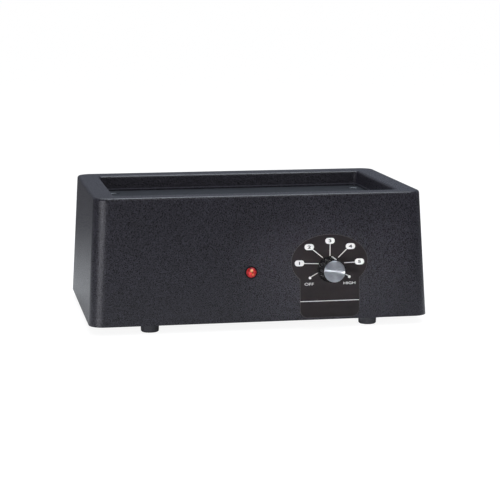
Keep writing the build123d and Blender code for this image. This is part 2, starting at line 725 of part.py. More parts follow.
parts["earth_nut"] = Pos(earth_x, earth_y, base_top_z) * hex_nut(nut_af, nut_h, earth_stud_r + screw_gap)

# sensor tube and leads: straight runs joined by arcs
def spot(plane, x, y, n):
    o = (plane * Pos(x, y, n)).position
    return (o.X, o.Y, o.Z)


lead_n = control_back_n - tab_len
pin_n = -inlet_body_d - tab_len
lamp_n = -lamp_body_len - lamp_tab_len
straight = 12.0         # every lead leaves its terminal straight for this far
ca, ca_in = spot(control_axis, -tab_x, tab_y, lead_n), spot(control_axis, -tab_x, tab_y, lead_n - straight)
cb, cb_in = spot(control_axis, tab_x, tab_y, lead_n), spot(control_axis, tab_x, tab_y, lead_n - straight)
i0, i0_in = spot(inlet_axis, *pins_at[0], pin_n), spot(inlet_axis, *pins_at[0], pin_n - straight)
i1, i1_in = spot(inlet_axis, *pins_at[1], pin_n), spot(inlet_axis, *pins_at[1], pin_n - straight / 2)
i2, i2_in = spot(inlet_axis, *pins_at[2], pin_n), spot(inlet_axis, *pins_at[2], pin_n - straight)
la, la_in = spot(lamp_axis, -lamp_tab_x, 0, lamp_n), spot(lamp_axis, -lamp_tab_x, 0, lamp_n - straight)
lb, lb_in = spot(lamp_axis, lamp_tab_x, 0, lamp_n), spot(lamp_axis, lamp_tab_x, 0, lamp_n - straight)
cap0 = spot(control_axis, 0, capillary_y, control_back_n)
cap0_in = spot(control_axis, 0, capillary_y, control_back_n - straight)
bulb_end = (bulb_x + bulb_len / 2, tray_y, bulb_z)
pin_x = element_end_x + element_pin_len
turn_x = pin_x + straight
parts["capillary_tube"] = tube(
    [
        bulb_end,
        (bulb_end[0] + 7, tray_y, bulb_z),
        (bulb_end[0] + 12, tray_y, capillary_z),
        (turn_x - 5, tray_y, capillary_z),
        (turn_x - 5, tray_y - 12, element_z - 45.6),
        (knob_x + 36, cap0_in[1] + 8, cap0_in[2] - 2),
        cap0_in,
        cap0,
    ],
    [3, 4, 9, 12, 9, 4],
    capillary_r,
)
parts["lead_live"] = tube([i2, i2_in, ca_in, ca], [6, 6], lead_r)
parts["lead_element"] = tube(
    [cb, cb_in, (tie_x - 10, tie_y[0] - 14, element_z - 39.6), (turn_x, tie_y[0] - 6, element_z - 27.6), (turn_x, y1, element_z), (pin_x, y1, element_z)],
    [6, 9, 9, 5], lead_r,
)
parts["lead_neutral"] = tube(
    [i0, i0_in, (tie_x - 14, tie_y[1] + 13, element_z - 63.6), (turn_x, tie_y[1] + 6, element_z - 35.6), (turn_x, y4, element_z), (pin_x, y4, element_z)],
    [6, 9, 9, 5], lead_r,
)
earth_top_z = base_top_z + earth_stud_h
parts["lead_earth"] = tube(
    [i1, i1_in, ((inlet_x + earth_x) / 2, earth_y - 3, i1[2] + 8), (earth_x, earth_y, earth_top_z + 16), (earth_x, earth_y, earth_top_z)],
    [2.5, 5, 5], lead_r,
)
block_front = block_term_y - block_term_d / 2
for name, end, end_in, bx in (("lamp_lead_a", la, la_in, block_term_x - 6), ("lamp_lead_b", lb, lb_in, block_term_x + 6)):
    parts[name] = tube(
        [end, end_in, (bx, block_front - 16, base_top_z + 4), (bx, block_front, base_top_z + 4)], [6, 8], lead_r
    )

# ---------------------------------------------------------------- write the files
low_y = min(p.bounding_box().min.Y for p in parts.values())
high_y = max(p.bounding_box().max.Y for p in parts.values())
shift_y = -(low_y + high_y) / 2
print("moved along Y by", shift_y)
os.makedirs("parts", exist_ok=True)
for name, shape in parts.items():
    solids = [s.moved(Location((0, shift_y, 0))) for s in shape.solids()]
    export_step(Compound(solids) if len(solids) > 1 else solids[0], "parts/" + name + ".step")
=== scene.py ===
import json
import math

import bmesh
import bpy
import numpy as np
from mathutils import Matrix, Vector


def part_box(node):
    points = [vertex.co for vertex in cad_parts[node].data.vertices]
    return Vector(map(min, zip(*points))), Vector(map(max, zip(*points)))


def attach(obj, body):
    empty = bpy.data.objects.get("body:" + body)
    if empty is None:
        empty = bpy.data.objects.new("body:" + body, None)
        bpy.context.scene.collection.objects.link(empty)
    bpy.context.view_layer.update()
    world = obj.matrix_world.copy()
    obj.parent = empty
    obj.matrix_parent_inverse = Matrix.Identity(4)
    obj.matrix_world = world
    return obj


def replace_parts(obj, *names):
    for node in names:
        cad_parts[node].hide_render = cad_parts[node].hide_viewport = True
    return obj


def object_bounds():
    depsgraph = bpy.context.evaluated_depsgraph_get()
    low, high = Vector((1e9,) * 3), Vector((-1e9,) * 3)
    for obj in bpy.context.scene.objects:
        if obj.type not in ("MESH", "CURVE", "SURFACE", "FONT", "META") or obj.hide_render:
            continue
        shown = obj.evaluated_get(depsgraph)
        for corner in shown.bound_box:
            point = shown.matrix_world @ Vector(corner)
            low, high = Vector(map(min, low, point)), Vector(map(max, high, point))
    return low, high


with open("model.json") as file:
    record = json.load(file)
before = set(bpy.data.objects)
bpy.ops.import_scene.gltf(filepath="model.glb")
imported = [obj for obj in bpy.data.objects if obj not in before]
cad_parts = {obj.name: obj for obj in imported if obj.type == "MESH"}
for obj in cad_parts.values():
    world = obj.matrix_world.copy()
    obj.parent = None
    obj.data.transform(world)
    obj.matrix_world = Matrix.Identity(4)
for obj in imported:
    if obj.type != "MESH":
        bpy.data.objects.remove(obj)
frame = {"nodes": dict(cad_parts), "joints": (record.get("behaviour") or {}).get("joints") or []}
cad_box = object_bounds()

# ---------------------------------------------------------------- the housing
# A box drawn from one sheet of black ABS, 3 mm thick, with a tray recess in its top.
# The sheet has a fine haircell grain rolled into its face, which drawing has left a
# little softer on the long flat walls than on the rim.


def linear(code, alpha=1.0):
    """An sRGB hex colour as linear RGBA: each channel c/255 is c/12.92 below 0.04045,
    and ((c + 0.055) / 1.055) to the power 2.4 above it."""
    c = np.array([int(code[i:i + 2], 16) for i in (1, 3, 5)]) / 255
    c = np.where(c <= 0.04045, c / 12.92, ((c + 0.055) / 1.055) ** 2.4)
    return (*c.tolist(), alpha)


def node(tree, kind, sockets=None, **settings):
    """Adds one shader node. settings are the node's own; sockets gives each input, by
    name or number, a plain value or the output of another node to link to it."""
    made = tree.nodes.new("ShaderNode" + kind)
    for name, value in settings.items():
        setattr(made, name, value)
    for name, value in (sockets or {}).items():
        if isinstance(value, bpy.types.NodeSocket):
            tree.links.new(value, made.inputs[name])
        else:
            made.inputs[name].default_value = value
    return made


def blank(name, **sockets):
    """A new material with a surface shader, its plain values set, and Object coordinates.
    Returns the material, its tree, the shader and the coordinates."""
    made = bpy.data.materials.new(name)
    made.use_nodes = True
    tree = made.node_tree
    tree.nodes.clear()
    shader = node(tree, "BsdfPrincipled", {k.replace("_", " "): v for k, v in sockets.items()})
    node(tree, "OutputMaterial", {"Surface": shader.outputs[0]})
    return made, tree, shader, node(tree, "TexCoord").outputs["Object"]


def mottle(tree, here, size_mm, low, high, detail=2.0, sharp=0.5, at=0.5):
    """A noise of that size in mm, from low to high: colours when they are RGBA,
    numbers otherwise. sharp is how much of the noise's range the step takes up, and at
    is the step's middle."""
    noise = node(tree, "TexNoise", {"Vector": here, "Scale": 1000 / size_mm, "Detail": detail})
    edge = node(tree, "MapRange", {"Value": noise.outputs["Fac"], "From Min": at - sharp / 2,
                                   "From Max": at + sharp / 2})
    if isinstance(low, float):
        edge.inputs["To Min"].default_value = low
        edge.inputs["To Max"].default_value = high
        return edge.outputs["Result"]
    mix = node(tree, "Mix", {0: edge.outputs["Result"], 6: low, 7: high}, data_type="RGBA")
    return mix.outputs[2]


def dress(material, *names):
    """Puts one material in every slot of the named CAD nodes."""
    for name in names:
        piece = frame["nodes"][name]
        if not piece.material_slots:
            piece.data.materials.append(material)
        for place in piece.material_slots:
            place.material = material


# Black ABS, drawn over a mould: nearly black and slightly violet, with a soft sheen that
# the grain breaks into fine sparkles. Haircell is about 0.5 mm; it is drawn at 0.8 mm, as
# coarse as it needs to show.
grain_mm = 0.8
grain_fine_mm = 0.5
grain_deep = 0.0001                         # metres
cloud_mm = 45.0                             # wide, faint patches where the sheet has thinned
abs_drawn, tree, shader, here = blank("black_abs_drawn_haircell", IOR=1.53)
# turned off the walls' own directions, so that the grain never falls in rows on them
askew = node(tree, "Mapping", {"Vector": here, "Rotation": (0.6, 0.35, 0.8)}).outputs[0]
speck = mottle(tree, askew, grain_mm, linear("#0f0f13"), linear("#4c4956"), sharp=0.36, at=0.6)
cloud = mottle(tree, here, cloud_mm, linear("#e2e2e2"), linear("#ffffff"), sharp=0.6)
tint = node(tree, "Mix", {0: 1.0, 6: speck, 7: cloud}, data_type="RGBA", blend_type="MULTIPLY")
gloss = mottle(tree, askew, grain_mm, 0.2, 0.42)
cells = node(tree, "TexNoise", {"Vector": askew, "Scale": 1000 / grain_mm, "Detail": 3.0,
                                "Roughness": 0.7})
pits = node(tree, "TexVoronoi", {"Vector": askew, "Scale": 1000 / grain_fine_mm},
            feature="SMOOTH_F1")
both = node(tree, "Math", {0: cells.outputs["Fac"], 1: pits.outputs["Distance"]}, operation="ADD")
bump = node(tree, "Bump", {"Height": both.outputs[0], "Distance": grain_deep, "Strength": 1.0})
tree.links.new(tint.outputs[2], shader.inputs["Base Color"])
tree.links.new(gloss, shader.inputs["Roughness"])
tree.links.new(bump.outputs[0], shader.inputs["Normal"])
dress(abs_drawn, "housing")

# ---------------------------------------------------------------- corner blocks
# Four blocks of black ABS, cut from plate and solvent-welded into the bottom corners.
# Their sawn faces stay dull, and the foot screws thread into them.


def moulded(name, dark, light, size_mm, rough, grain, deep_mm, ior=1.5):
    """A plastic or rubber: two near colours in cells of size_mm, roughness from
    rough[0] to rough[1], and a grain of that size and depth in mm."""
    made, tree, shader, here = blank(name, IOR=ior)
    colour = mottle(tree, here, size_mm, linear(dark), linear(light), detail=3.0)
    gloss = mottle(tree, here, size_mm * 2.5, rough[0], rough[1])
    cells = node(tree, "TexNoise", {"Vector": here, "Scale": 1000 / grain, "Detail": 3.0})
    bump = node(tree, "Bump", {"Height": cells.outputs["Fac"], "Distance": deep_mm / 1000})
    tree.links.new(colour, shader.inputs["Base Color"])
    tree.links.new(gloss, shader.inputs["Roughness"])
    tree.links.new(bump.outputs[0], shader.inputs["Normal"])
    return made


abs_sawn = moulded("black_abs_sawn", "#1c1c1f", "#29292d", 2.0, (0.6, 0.75), 0.6, 0.05)
dress(abs_sawn, "corner_blocks")

# ---------------------------------------------------------------- base plate
# A plate of zinc-plated steel, 1.2 mm thick, that closes the housing from below. It is
# punched with two rows of vent slots, and the blank was rolled along its length.


def metal(name, dark, light, size_mm, rough, streak=(1, 1, 1), deep_mm=0.01, grain_mm=0.4,
          metallic=1.0):
    """A bare or plated metal: two near colours in patches of size_mm, drawn out by the
    three streak factors, with roughness from rough[0] to rough[1] in a finer grain."""
    made, tree, shader, here = blank(name, Metallic=metallic)
    drawn = node(tree, "Mapping", {"Vector": here, "Scale": streak}).outputs[0]
    colour = mottle(tree, drawn, size_mm, linear(dark), linear(light), detail=3.0)
    gloss = mottle(tree, drawn, grain_mm * 2, rough[0], rough[1], detail=3.0)
    lines = node(tree, "TexNoise", {"Vector": drawn, "Scale": 1000 / grain_mm, "Detail": 3.0})
    bump = node(tree, "Bump", {"Height": lines.outputs["Fac"], "Distance": deep_mm / 1000})
    tree.links.new(colour, shader.inputs["Base Color"])
    tree.links.new(gloss, shader.inputs["Roughness"])
    tree.links.new(bump.outputs[0], shader.inputs["Normal"])
    return made


zinc_rolled = metal("steel_sheet_zinc_plated", "#8d9092", "#b3b6b8", 9.0, (0.34, 0.5),
                    streak=(0.12, 1, 1), deep_mm=0.006)
dress(zinc_rolled, "base_plate")

# ---------------------------------------------------------------- feet and their screws
# Four turned-down rubber feet, moulded in black nitrile with a plain tapered side, and
# held up into the corner blocks by pan-head screws sunk in their undersides.
nitrile = moulded("black_nitrile_moulded", "#38383c", "#48484d", 1.4, (0.55, 0.75), 0.7, 0.05)
dress(nitrile, "foot_front_left", "foot_back_left", "foot_front_right", "foot_back_right")
zinc_bright = metal("steel_zinc_plated_bright", "#a5a9ab", "#c9cccd", 1.5, (0.22, 0.38),
                    grain_mm=0.3, deep_mm=0.004)
dress(zinc_bright, "foot_screws")

# ---------------------------------------------------------------- heat plate
# The tray's floor: 1.5 mm aluminium, black anodised after a light blasting, so it is
# smoother and cooler in tone than the housing. Its four dishes were pressed in.
anodised_black = metal("aluminium_blasted_black_anodised", "#25272c", "#31343a", 14.0,
                       (0.4, 0.48), deep_mm=0.012, grain_mm=0.5, metallic=0.35)
dress(anodised_black, "heat_plate")

# ---------------------------------------------------------------- tie screws
# Four long slotted screws hold the plate, the pan and the base together. Their heads sit
# in the dishes, blackened; below, each runs in a zinc-plated tube to a washer and nut.
oxide_black = metal("steel_black_oxide", "#111213", "#1c1d1f", 1.2, (0.48, 0.62),
                    grain_mm=0.35, deep_mm=0.006, metallic=0.8)
dress(oxide_black, "tie_screws")
zinc_tube = metal("steel_tube_zinc_plated", "#989b9d", "#b9bcbe", 3.0, (0.28, 0.42),
                  streak=(1, 1, 0.2), deep_mm=0.005)
dress(zinc_tube, "tie_spacers")
dress(zinc_bright, "tie_washers", "tie_nuts")

# ---------------------------------------------------------------- heating element
# A tubular element bent in a serpentine: a stainless sheath over packed magnesia, tinted
# straw and grey by its own heat, with nickel pins. Steel straps clamp it to the plate.
sheath = metal("stainless_tube_heat_tinted", "#5b5148", "#86807a", 6.0, (0.3, 0.5),
               streak=(0.25, 1, 1), deep_mm=0.006)
dress(sheath, "heating_element")
nickel = metal("nickel_drawn", "#a49d8f", "#beb8aa", 1.5, (0.2, 0.32), deep_mm=0.003)
dress(nickel, "element_pins")
strap_steel = metal("spring_steel_strap_zinc_plated", "#85888a", "#a3a6a8", 4.0, (0.3, 0.45),
                    streak=(1, 0.15, 1), deep_mm=0.005)
dress(strap_steel, "element_straps")
dress(zinc_bright, "strap_studs", "strap_nuts")

# ---------------------------------------------------------------- pan and wool
# A folded pan of hot-dip galvanised sheet holds a blanket of white ceramic wool under
# the element. The zinc has frozen in a spangle of flat crystals about 8 mm across.
galvanised, tree, shader, here = blank("steel_sheet_galvanised_spangle", Metallic=1.0)
spangle_mm = 8.0
crystals = node(tree, "TexVoronoi", {"Vector": here, "Scale": 1000 / spangle_mm})
shade = node(tree, "SeparateColor", {"Color": crystals.outputs["Color"]}).outputs[0]
colour = node(tree, "Mix", {0: shade, 6: linear("#8a8e92"), 7: linear("#b9bdc0")}, data_type="RGBA")
gloss = node(tree, "MapRange", {"Value": shade, "To Min": 0.28, "To Max": 0.5})
tree.links.new(colour.outputs[2], shader.inputs["Base Color"])
tree.links.new(gloss.outputs[0], shader.inputs["Roughness"])
dress(galvanised, "shield_pan")

# Ceramic wool, needled: matt, off-white, with tangled fibres that show as soft tufts.
wool = moulded("ceramic_wool_needled", "#d9d5cb", "#efece4", 5.0, (0.9, 1.0), 1.6, 0.6)
dress(wool, "insulation_blanket")

# ---------------------------------------------------------------- bulb and capillary
# The thermostat's sensing bulb, drawn copper that has browned with heat, lies under the
# middle strap. Its capillary, 1.5 mm copper tube, bends back to the control.
copper = metal("copper_drawn_oxidised", "#8a5138", "#b4704e", 3.0, (0.26, 0.45), deep_mm=0.004)
dress(copper, "sensing_bulb", "capillary_tube")

# ---------------------------------------------------------------- dial plate
# A satin black plate, 0.4 mm thick, held to the front by the control's nut. Its scale is
# screen printed: white lines, dots and pills, and black figures on the pills.
dial_black = moulded("polyester_label_satin_black", "#1a1516", "#211b1c", 6.0, (0.36, 0.44),
                     0.5, 0.006, ior=1.42)
dress(dial_black, "dial_plate")

turn = frame["joints"][0]
axis = np.array(turn["axis"])               # out of the front panel
rise = np.array([0.0, axis[2], -axis[1]])   # up the panel
side = np.array([1.0, 0.0, 0.0])
hub_high = 8.0                              # the joint's point stands this far off the panel, mm
hub = np.array(turn["pos_m"]) * 1000 - hub_high * axis


def on_panel(x, s, n):
    """Row-frame metres for arrays in mm: x across and s up the panel from the knob's
    centre, and n outwards from the panel's face."""
    x, s, n = np.broadcast_arrays(x, s, n)
    mm = hub + x[..., None] * side + s[..., None] * rise + n[..., None] * axis
    return mm / 1000


def heal(mesh, thin=True):
    """Merges points that coincide and turns the faces outwards. thin also dissolves the
    faces and edges that have no size."""
    work = bmesh.new()
    work.from_mesh(mesh)
    bmesh.ops.remove_doubles(work, verts=work.verts, dist=1e-7)
    if thin:
        bmesh.ops.dissolve_degenerate(work, edges=work.edges, dist=1e-8)
    bmesh.ops.recalc_face_normals(work, faces=work.faces)
    work.to_mesh(mesh)
    work.free()


def placed(name, data):
    """A new object that holds the data, in the scene."""
    made = bpy.data.objects.new(name, data)
    bpy.context.scene.collection.objects.link(made)
    return made


def skin(name, grid, material, uv=None, sharp_deg=30.0):
    """A mesh from a grid of points, rows by columns by 3: each cell is one quad. Rows or
    columns that meet are merged, which closes seams and poles, and faces turn outwards."""
    rows, cols = grid.shape[:2]
    at = np.arange(rows * cols).reshape(rows, cols)
    quads = np.stack([at[:-1, :-1], at[1:, :-1], at[1:, 1:], at[:-1, 1:]], -1).reshape(-1, 4)
    mesh = bpy.data.meshes.new(name)
    mesh.from_pydata(grid.reshape(-1, 3).tolist(), [], quads.tolist())
    if uv is not None:
        layer = mesh.uv_layers.new(name="UVMap")
        layer.data.foreach_set("uv", uv.reshape(-1, 2)[quads.reshape(-1)].ravel())
    heal(mesh)
    mesh.shade_smooth()
    mesh.set_sharp_from_angle(angle=math.radians(sharp_deg))
    mesh.materials.append(material)
    return placed(name, mesh)


def printed(x, s, low, high):
    """A closed film of ink over a star-shaped outline x, s whose last point repeats its
    first: from its middle out to the outline, up its edge and back to the middle."""
    mx, ms = x[:-1].mean() + 0 * x, s[:-1].mean() + 0 * s
    return np.stack([on_panel(mx, ms, low), on_panel(x, s, low),
                     on_panel(x, s, high), on_panel(mx, ms, high)])


def pill(cx, cs, wide, tall, r, turn_deg=0.0, steps=10):
    """A rectangle with corners of radius r: four quarter circles at its corners, turned
    by turn_deg about its centre."""
    a = np.linspace(0, math.pi / 2, steps)
    quarter = [(sx * (wide / 2 - r), sy * (tall / 2 - r), k * math.pi / 2)
               for k, (sx, sy) in enumerate(((1, 1), (-1, 1), (-1, -1), (1, -1)))]
    x = np.concatenate([px + r * np.cos(a + t) for px, _, t in quarter])
    s = np.concatenate([py + r * np.sin(a + t) for _, py, t in quarter])
    x, s = np.append(x, x[0]), np.append(s, s[0])
    c, d = math.cos(math.radians(turn_deg)), math.sin(math.radians(turn_deg))
    return cx + c * x - d * s, cs + d * x + c * s


def bar(x0, s0, x1, s1, wide):
    """A straight printed line from one point to another. Its ends are round: their radius
    is a hair under half the width, so that no side shrinks to nothing."""
    long = math.hypot(x1 - x0, s1 - s0) + wide
    return pill((x0 + x1) / 2, (s0 + s1) / 2, long, wide, wide * 0.499,
                math.degrees(math.atan2(s1 - s0, x1 - x0)), steps=6)


def joined(name, pieces):
    """One object from several, in the order given; the first lends its data blocks."""
    with bpy.context.temp_override(active_object=pieces[0], selected_editable_objects=pieces):
        bpy.ops.object.join()
    pieces[0].name = pieces[0].data.name = name
    return pieces[0]


def lettering(text, cx, cs, tall, bold, low, thick, material, wide=1.0):
    """Text as a closed mesh on the panel: centred on cx, cs, tall mm high, its strokes
    fattened by bold, standing from low to low + thick, and stretched sideways by wide."""
    curve = bpy.data.curves.new(text, "FONT")
    curve.body = text
    curve.align_x = "CENTER"
    curve.size = 1.0
    curve.offset = bold
    curve.extrude = 0.5
    flat = placed(text, curve)
    bpy.context.view_layer.update()
    shown = flat.evaluated_get(bpy.context.evaluated_depsgraph_get())
    mesh = bpy.data.meshes.new_from_object(shown)
    bpy.data.objects.remove(flat)
    co = np.zeros(len(mesh.vertices) * 3)
    mesh.vertices.foreach_get("co", co)
    co = co.reshape(-1, 3)
    mid = (co.min(0) + co.max(0)) / 2
    scale = tall / (co[:, 1].max() - co[:, 1].min())
    set_out = on_panel(cx + (co[:, 0] - mid[0]) * scale * wide,
                       cs + (co[:, 1] - mid[1]) * scale, low + (co[:, 2] + 0.5) * thick)
    mesh.vertices.foreach_set("co", set_out.ravel())
    heal(mesh, thin=False)
    mesh.materials.clear()
    mesh.materials.append(material)
    return placed(text, mesh)


# Screen ink, white: opaque and satin, with a trace of the mesh in its edge and gloss.
ink_white = moulded("screen_ink_white", "#e9e9e6", "#f4f4f2", 1.2, (0.38, 0.5), 0.3, 0.004)
ink_black = moulded("screen_ink_black", "#101011", "#181819", 1.2, (0.38, 0.5), 0.3, 0.004)
ink_grey = moulded("screen_ink_grey", "#454142", "#524e4f", 1.2, (0.4, 0.5), 0.3, 0.004)
# heights off the panel, in mm: the plate's face is at 0.4, and the ink starts just inside it
ink_low, ink_high, figure_high = 0.38, 0.43, 0.46
figure_sink = 0.02                            # a figure starts this far above the pill's underside

# the plate is an oval over a stem with round lower corners, in mm from the knob's centre
oval_up, oval_a, oval_b = 7.6, 38.2, 26.7
stem_half, stem_low, stem_r = 29.8, -47.3, 8.0
rim_mid = -7.3                                # a point inside both the oval and the stem
# five numbered marks, each a pill and a line that points at the knob: centre of the
# pill, then the line's two ends, in mm from the knob's centre
marks = (
    ("1", -30.0, 6.6, -25.0, 6.3, -11.3, 5.7),
    ("2", -20.2, 22.2, -16.7, 19.6, -7.0, 11.6),
    ("3", 0.5, 27.7, 0.6, 24.7, 0.4, 13.2),
    ("4", 20.9, 21.9, 16.9, 19.1, 8.8, 11.4),
    ("5", 29.9, 6.6, 24.9, 6.1, 14.8, 5.8),
)
pill_wide, pill_tall, pill_r = 9.4, 5.8, 2.85
line_wide, tick_wide = 0.68, 0.6              # the numbered marks' lines, and all the others
figure_tall, figure_bold, figure_wide = 3.0, 0.03, 1.7
dot_wide, dot_r = 2.7, 1.349
dot_x, dot_s, word_s = 19.6, -8.0, -14.1      # the end marks' dots and words
tick_ends = ((18.4, -6.8), (12.4, -3.6))      # from the dot in towards the knob
rule_s, rule_inset = -31.0, 0.5


def white_ink(name, shape):
    """A white printed shape, from its outline's x and s."""
    return skin(name, printed(*shape, ink_low, ink_high), ink_white)


white, black = [], []
for text, px, ps, x0, s0, x1, s1 in marks:
    white.append(white_ink("pill", pill(px, ps, pill_wide, pill_tall, pill_r)))
    white.append(white_ink("line", bar(x0, s0, x1, s1, line_wide)))
    black.append(lettering(text, px, ps, figure_tall, figure_bold, ink_low + figure_sink,
                           figure_high - ink_low - figure_sink, ink_black, figure_wide))
# each end mark: its side of the dial, its word, the word's x, height and stretch
for sx, word, wx, tall, wide in ((-1, "OFF", -20.5, 2.6, 1.45), (1, "HIGH", 19.7, 2.4, 1.5)):
    (x0, s0), (x1, s1) = tick_ends
    white.append(white_ink("dot", pill(sx * dot_x, dot_s, dot_wide, dot_wide, dot_r)))
    white.append(white_ink("line", bar(sx * x0, s0, sx * x1, s1, tick_wide)))
    white.append(lettering(word, wx, word_s, tall, 0.0, ink_low, ink_high - ink_low, ink_white,
                           wide))
rule = bar(-stem_half + rule_inset, rule_s, stem_half - rule_inset, rule_s, tick_wide)
white.append(white_ink("rule", rule))
dial_white = joined("dial_print_white", white)
dial_figures = joined("dial_print_figures", black)

# the thin outline inside the plate's edge


def plate_edge(inset, steps=360):
    """The plate's outline, drawn in by inset: the farther of an oval and a stem with
    round lower corners, along rays from one point inside both."""
    a = np.linspace(-math.pi, math.pi, steps + 1)
    t = np.linspace(0, 2 * math.pi, 721)        # half a degree apart
    ox, os_ = (oval_a - inset) * np.cos(t), oval_up + (oval_b - inset) * np.sin(t)
    half, low = stem_half - inset, stem_low + inset
    bx, bs = pill(0, (low + oval_up) / 2, 2 * half, oval_up - low, stem_r - inset, steps=16)
    reach = 0
    for px, ps in ((ox, os_), (bx, bs)):
        part = np.linspace(0, 1, 40)[:-1, None]     # long straight sides need points too
        px, ps = (((1 - part) * v[None, :-1] + part * v[None, 1:]).T.ravel() for v in (px, ps))
        ang, far = np.arctan2(ps - rim_mid, px), np.hypot(px, ps - rim_mid)
        order = np.argsort(ang)
        reach = np.maximum(reach, np.interp(a, ang[order], far[order], period=2 * math.pi))
    return reach * np.cos(a), rim_mid + reach * np.sin(a)


outer, inner = plate_edge(0.08), plate_edge(0.42)    # a line 0.34 mm wide
ring = np.stack([on_panel(*outer, ink_low), on_panel(*outer, ink_high),
                 on_panel(*inner, ink_high), on_panel(*inner, ink_low),
                 on_panel(*outer, ink_low)])
dial_lines = skin("dial_print_outline", ring, ink_grey)
for piece in (dial_white, dial_figures, dial_lines):
    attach(piece, "case")

# ---------------------------------------------------------------- control
# A rotary thermostat behind the panel: a phenolic body with tinned blades, and a brass
# bushing clamped through the front by a washer and nut. Its shaft is ground steel.
phenolic = moulded("phenolic_moulded_brown_black", "#211a17", "#2f2723", 2.5, (0.35, 0.5),
                   0.5, 0.02, ior=1.6)
dress(phenolic, "control_body")
brass = metal("brass_turned", "#9a7c46", "#c2a267", 2.0, (0.22, 0.36), deep_mm=0.004)
dress(brass, "control_bushing", "control_nut")
dress(zinc_bright, "control_washer")
ground = metal("steel_ground", "#8f9193", "#b2b4b6", 1.5, (0.18, 0.3), deep_mm=0.003)
dress(ground, "control_shaft")
tinned = metal("brass_tinned", "#a9a9a6", "#c4c4c1", 2.0, (0.25, 0.4), deep_mm=0.004)
dress(tinned, "control_tabs")

# ---------------------------------------------------------------- knob
# Moulded black phenolic: a skirt, a tapered grip with shallow flutes, and a seat in its
# front for a metal disc. A slotted grub screw in its side locks it to the shaft's flat.
flutes = 23
rest_deg = -7.0            # about the joint's axis: the pointer rests 7 degrees clockwise of up
grip_gloss = moulded("phenolic_moulded_black_gloss", "#0c0c0e", "#151518", 1.5, (0.16, 0.28),
                     0.5, 0.008, ior=1.5)
# radius and height off the panel, in mm: from inside the skirt, round it, up the grip and
# over its edge into the seat of the disc
profile = np.array([
    (9.8, 8.6), (9.8, 2.0), (10.1, 1.4), (12.1, 1.4), (12.4, 1.5), (12.55, 1.75), (12.6, 2.1),
    (12.6, 3.2), (12.54, 3.5), (12.4, 3.75), (12.35, 4.2), (12.2, 7.0), (12.05, 10.0),
    (11.9, 14.0), (11.75, 17.5), (11.62, 20.3), (11.5, 21.2), (11.25, 21.7), (10.9, 21.9),
    (10.42, 21.9), (10.38, 21.8), (10.38, 21.1), (0.0, 21.1)])


def finer(path, count):
    """The path with each straight step drawn by count points, its ends included."""
    steps = [np.linspace(path[i], path[i + 1], count)[:-1] for i in range(len(path) - 1)]
    return np.concatenate(steps + [path[-1:]])


def round_knob(path, steps, deep=0.0, low=0.0, high=0.0):
    """The path's (radius, height) points turned about the knob's axis. Between heights
    low and high the radius loses deep times a lobed wave that repeats at each flute and
    is nothing under the pointer."""
    a = np.linspace(0, 2 * math.pi, steps + 1)[None, :]
    r, n = path[:, :1], path[:, 1:]
    lobe = np.clip(0.5 - 0.5 * np.cos(flutes * a), 0, 1) ** 0.8
    lobe = lobe * (np.abs(np.angle(np.exp(1j * a))) > math.pi / flutes * 1.02)
    window = np.clip((n - low) / 1.2, 0, 1) * (n < high + 0.3) * (r > 10.5)
    r = r - deep * lobe * window
    a = a + math.radians(-rest_deg)
    return on_panel(r * np.sin(a), r * np.cos(a), n + 0 * a)


# the flutes lie between the ribs; a rib stands at the pointer
shape = round_knob(finer(profile, 5), flutes * 12, deep=0.85, low=3.7, high=21.9)
grip = skin("knob_grip", shape, grip_gloss, sharp_deg=50)
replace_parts(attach(grip, "knob"), "knob_body")
dress(oxide_black, "knob_grub_screw")

# The pointer is a stripe of white paint in a rib. It is dense and slightly glossy.
paint = moulded("enamel_white_brushed", "#e6e6e3", "#f3f3f0", 1.0, (0.3, 0.42), 0.4, 0.01)
dress(paint, "knob_pointer")

# The front disc is 1.2 mm aluminium, spun-finished: fine rings cut about its centre, which
# spread each light into a pair of bright wedges, and a bright bevelled edge.
spun, tree, shader, here = blank("aluminium_spun_rings", Metallic=1.0, Anisotropic=1.0,
                                  Anisotropic_Rotation=0.25)
uv = node(tree, "UVMap", uv_map="UVMap").outputs[0]
across = node(tree, "Mapping", {"Vector": uv, "Scale": (3.0, 190.0, 1.0)}).outputs[0]
rings = node(tree, "TexNoise", {"Vector": across, "Scale": 1.0, "Detail": 3.0})
colour = node(tree, "Mix", {0: rings.outputs["Fac"], 6: linear("#a9adb4"), 7: linear("#dadee4")},
              data_type="RGBA")
gloss = node(tree, "MapRange", {"Value": rings.outputs["Fac"], "To Min": 0.3, "To Max": 0.38})
bump = node(tree, "Bump", {"Height": rings.outputs["Fac"], "Distance": 0.00001})
round_way = node(tree, "Tangent", direction_type="UV_MAP", uv_map="UVMap")
tree.links.new(colour.outputs[2], shader.inputs["Base Color"])
tree.links.new(gloss.outputs[0], shader.inputs["Roughness"])
tree.links.new(bump.outputs[0], shader.inputs["Normal"])
tree.links.new(round_way.outputs[0], shader.inputs["Tangent"])
disc_r = 10.3
disc_path = finer(np.array([
    (0.0, 21.15), (10.25, 21.15), (disc_r, 21.2), (disc_r, 21.9), (10.2, 22.12), (9.95, 22.25),
    (9.7, 22.3), (9.0, 22.3), (6.0, 22.3), (3.0, 22.3), (0.6, 22.3), (0.0, 22.3)]), 4)
turns = 96
# laid out by turn and radius, so that the rings and their direction follow the circle
disc_uv = np.stack(np.broadcast_arrays(np.linspace(0, 1, turns + 1)[None, :],
                                       disc_path[:, :1] / disc_r), -1)
disc = skin("knob_disc", round_knob(disc_path, turns), spun, uv=disc_uv, sharp_deg=40)
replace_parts(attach(disc, "knob"), "knob_cap")

